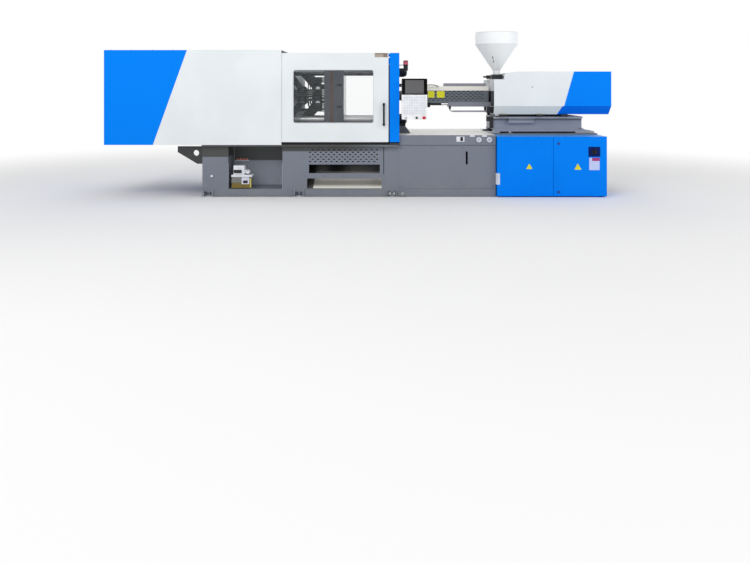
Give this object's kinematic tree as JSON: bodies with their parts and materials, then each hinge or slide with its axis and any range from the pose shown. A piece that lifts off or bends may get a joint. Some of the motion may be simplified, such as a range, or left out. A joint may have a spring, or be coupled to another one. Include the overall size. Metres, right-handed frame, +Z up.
{
  "type": "injection moulding machine",
  "caption": "Horizontal injection moulding machine with a toggle clamp, sliding guard doors, barrel under a perforated guard, granule hopper and electrical cabinet.",
  "frame": {"origin": "on the floor, under the middle of the machine's box", "axes": "+X from the clamp to the injection unit, -Y towards the operator, +Z up"},
  "size_m": [6.184, 1.644, 2.045],
  "materials": {
    "bed_grey": "semi-gloss grey paint",
    "panel_white": "smooth white paint",
    "signal_blue": "smooth blue paint",
    "ground_steel": "ground steel",
    "cast_dark": "dark grey painted casting",
    "link_black": "black painted casting",
    "machine_grey": "grey paint",
    "stainless": "brushed stainless sheet",
    "clear_pane": "clear polycarbonate",
    "black_plastic": "satin black plastic",
    "red_plastic": "glossy red plastic",
    "grey_plastic": "satin grey plastic",
    "oil_clear": "clear reservoir with yellow oil",
    "heater_steel": "heat-toned steel",
    "guard_dark": "dark grey perforated sheet"
  },
  "bodies": {
    "machine": {"clamp_bed": "bed_grey", "injection_bed": "bed_grey", "slide_rails": "ground_steel", "levelling_feet": "black_plastic", "vent_panel": "bed_grey", "side_panels": "bed_grey", "discharge_chute": "stainless", "hydraulic_unit": "machine_grey", "tie_bars": "ground_steel", "tie_bar_nuts": "machine_grey", "fixed_platen": "cast_dark", "clamp_cover": "panel_white", "guard_frame": "signal_blue", "beacon_base": "black_plastic", "beacon_lens": "red_plastic", "panel_arm": "black_plastic", "lubrication_pump": "panel_white", "oil_reservoir": "oil_clear", "cabinet_shell": "signal_blue", "cabinet_devices": "grey_plastic"},
    "rear_platen": {"rear_platen": "cast_dark", "adjusting_nuts": "machine_grey", "clamp_cylinder": "machine_grey", "rear_pins": "ground_steel"},
    "moving_platen": {"moving_platen": "cast_dark", "front_pins": "ground_steel"},
    "ejector": {"ejector": "ground_steel"},
    "rear_link_upper": {"rear_link_upper": "link_black"},
    "rear_link_lower": {"rear_link_lower": "link_black"},
    "front_link_upper": {"front_link_upper": "link_black"},
    "front_link_lower": {"front_link_lower": "link_black"},
    "crosshead": {"crosshead": "ground_steel"},
    "crosshead_link_upper": {"crosshead_link_upper": "link_black"},
    "crosshead_link_lower": {"crosshead_link_lower": "link_black"},
    "carriage": {"carriage_base": "machine_grey", "barrel": "heater_steel", "heater_bands": "heater_steel", "barrel_guard": "guard_dark", "cooling_pipe": "machine_grey", "feed_housing": "machine_grey", "injection_housing": "panel_white", "injection_cylinders": "machine_grey", "hopper": "panel_white"},
    "drive": {"drive_plate": "machine_grey"},
    "screw": {"injection_screw": "ground_steel"},
    "hopper_lid": {"hopper_lid": "panel_white"},
    "hopper_gate": {"hopper_gate": "black_plastic"},
    "front_door": {"front_door": "panel_white", "front_window": "clear_pane"},
    "rear_door": {"rear_door": "panel_white", "rear_window": "clear_pane"},
    "control_panel": {"control_panel": "panel_white"},
    "e_stop": {"e_stop": "red_plastic"},
    "selector_knob": {"selector_knob": "black_plastic"},
    "grey_button": {"grey_button": "grey_plastic"},
    "cabinet_door_left": {"cabinet_door_left": "signal_blue"},
    "cabinet_door_right": {"cabinet_door_right": "signal_blue"},
    "isolator_handle": {"isolator_handle": "black_plastic"},
    "lock_top": {"lock_top": "grey_plastic"},
    "lock_bottom": {"lock_bottom": "grey_plastic"}
  },
  "joints": [
    {"name": "die_height", "type": "slide", "parent": "machine", "child": "rear_platen", "axis": [1, 0, 0], "range_m": [-0.05, 0.06]},
    {"name": "platen_stroke", "type": "slide", "parent": "rear_platen", "child": "moving_platen", "axis": [1, 0, 0], "range_m": [-0.1347, 0.1554]},
    {"name": "ejector_stroke", "type": "slide", "parent": "moving_platen", "child": "ejector", "axis": [1, 0, 0], "range_m": [0, 0.08]},
    {"name": "rear_link_upper_turn", "type": "hinge", "parent": "rear_platen", "child": "rear_link_upper", "pos_m": [-1.10869, 0.036, 1.303], "axis": [0, -1, 0], "range_deg": [-17, 19]},
    {"name": "rear_link_lower_turn", "type": "hinge", "parent": "rear_platen", "child": "rear_link_lower", "pos_m": [-1.10869, 0.036, 1.123], "axis": [0, 1, 0], "range_deg": [-17, 19]},
    {"name": "front_link_upper_turn", "type": "hinge", "parent": "moving_platen", "child": "front_link_upper", "pos_m": [-0.56, 0.036, 1.303], "axis": [0, 1, 0], "range_deg": [-17, 19]},
    {"name": "front_link_lower_turn", "type": "hinge", "parent": "moving_platen", "child": "front_link_lower", "pos_m": [-0.56, 0.036, 1.123], "axis": [0, -1, 0], "range_deg": [-17, 19]},
    {"name": "crosshead_stroke", "type": "slide", "parent": "rear_platen", "child": "crosshead", "axis": [1, 0, 0], "range_m": [-0.12, 0.13]},
    {"name": "crosshead_link_upper_turn", "type": "hinge", "parent": "rear_link_upper", "child": "crosshead_link_upper", "pos_m": [-0.9414, 0.036, 1.48879], "axis": [0, 1, 0], "range_deg": [-34, 38]},
    {"name": "crosshead_link_lower_turn", "type": "hinge", "parent": "rear_link_lower", "child": "crosshead_link_lower", "pos_m": [-0.9414, 0.036, 0.93721], "axis": [0, -1, 0], "range_deg": [-34, 38]},
    {"name": "carriage_stroke", "type": "slide", "parent": "machine", "child": "carriage", "axis": [1, 0, 0], "range_m": [0, 0.3]},
    {"name": "injection_stroke", "type": "slide", "parent": "carriage", "child": "drive", "axis": [1, 0, 0], "range_m": [0, 0.19]},
    {"name": "screw_turn", "type": "hinge", "parent": "drive", "child": "screw", "pos_m": [2.15, 0.036, 1.213], "axis": [1, 0, 0], "continuous": true},
    {"name": "lid_hinge", "type": "hinge", "parent": "carriage", "child": "hopper_lid", "pos_m": [1.739, 0.318, 2.038], "axis": [-1, 0, 0], "range_deg": [0, 100]},
    {"name": "gate_slide", "type": "slide", "parent": "carriage", "child": "hopper_gate", "axis": [1, 0, 0], "range_m": [-0.085, 0]},
    {"name": "front_door_slide", "type": "slide", "parent": "machine", "child": "front_door", "axis": [-1, 0, 0], "range_m": [0, 1.1]},
    {"name": "rear_door_slide", "type": "slide", "parent": "machine", "child": "rear_door", "axis": [-1, 0, 0], "range_m": [0, 1.1]},
    {"name": "panel_swivel", "type": "hinge", "parent": "machine", "child": "control_panel", "pos_m": [0.49, -0.716, 0.938], "axis": [0, 0, 1], "range_deg": [-75, 10]},
    {"name": "e_stop_press", "type": "slide", "parent": "control_panel", "child": "e_stop", "axis": [0, 1, 0], "range_m": [0, 0.005], "stiffness_N_per_m": 800, "springref_m": -0.002},
    {"name": "grey_button_press", "type": "slide", "parent": "control_panel", "child": "grey_button", "axis": [0, 1, 0], "range_m": [0, 0.003], "stiffness_N_per_m": 500, "springref_m": -0.002},
    {"name": "selector_turn", "type": "hinge", "parent": "control_panel", "child": "selector_knob", "pos_m": [0.657, -0.794, 0.957], "axis": [0, 1, 0], "range_deg": [-45, 45]},
    {"name": "cabinet_door_left_hinge", "type": "hinge", "parent": "machine", "child": "cabinet_door_left", "pos_m": [1.628, -0.714, 0.728], "axis": [0, 0, -1], "range_deg": [0, 110]},
    {"name": "cabinet_door_right_hinge", "type": "hinge", "parent": "machine", "child": "cabinet_door_right", "pos_m": [2.946, -0.714, 0.728], "axis": [0, 0, 1], "range_deg": [0, 110]},
    {"name": "isolator_turn", "type": "hinge", "parent": "cabinet_door_right", "child": "isolator_handle", "pos_m": [2.794, -0.714, 0.547], "axis": [0, 1, 0], "range_deg": [0, 90]},
    {"name": "lock_top_turn", "type": "hinge", "parent": "cabinet_door_right", "child": "lock_top", "pos_m": [2.365, -0.714, 0.645], "axis": [0, 1, 0], "range_deg": [0, 90]},
    {"name": "lock_bottom_turn", "type": "hinge", "parent": "cabinet_door_right", "child": "lock_bottom", "pos_m": [2.365, -0.714, 0.064], "axis": [0, 1, 0], "range_deg": [0, 90]}
  ],
  "couplings": [
    {"joint": "rear_link_upper_turn", "follows": "platen_stroke", "rad_per_m": -1.6842},
    {"joint": "rear_link_lower_turn", "follows": "platen_stroke", "rad_per_m": -1.6842},
    {"joint": "front_link_upper_turn", "follows": "platen_stroke", "rad_per_m": -1.6842},
    {"joint": "front_link_lower_turn", "follows": "platen_stroke", "rad_per_m": -1.6842},
    {"joint": "crosshead_stroke", "follows": "platen_stroke", "ratio": 0.66127},
    {"joint": "crosshead_link_upper_turn", "follows": "platen_stroke", "rad_per_m": -3.4},
    {"joint": "crosshead_link_lower_turn", "follows": "platen_stroke", "rad_per_m": -3.4}
  ]
}
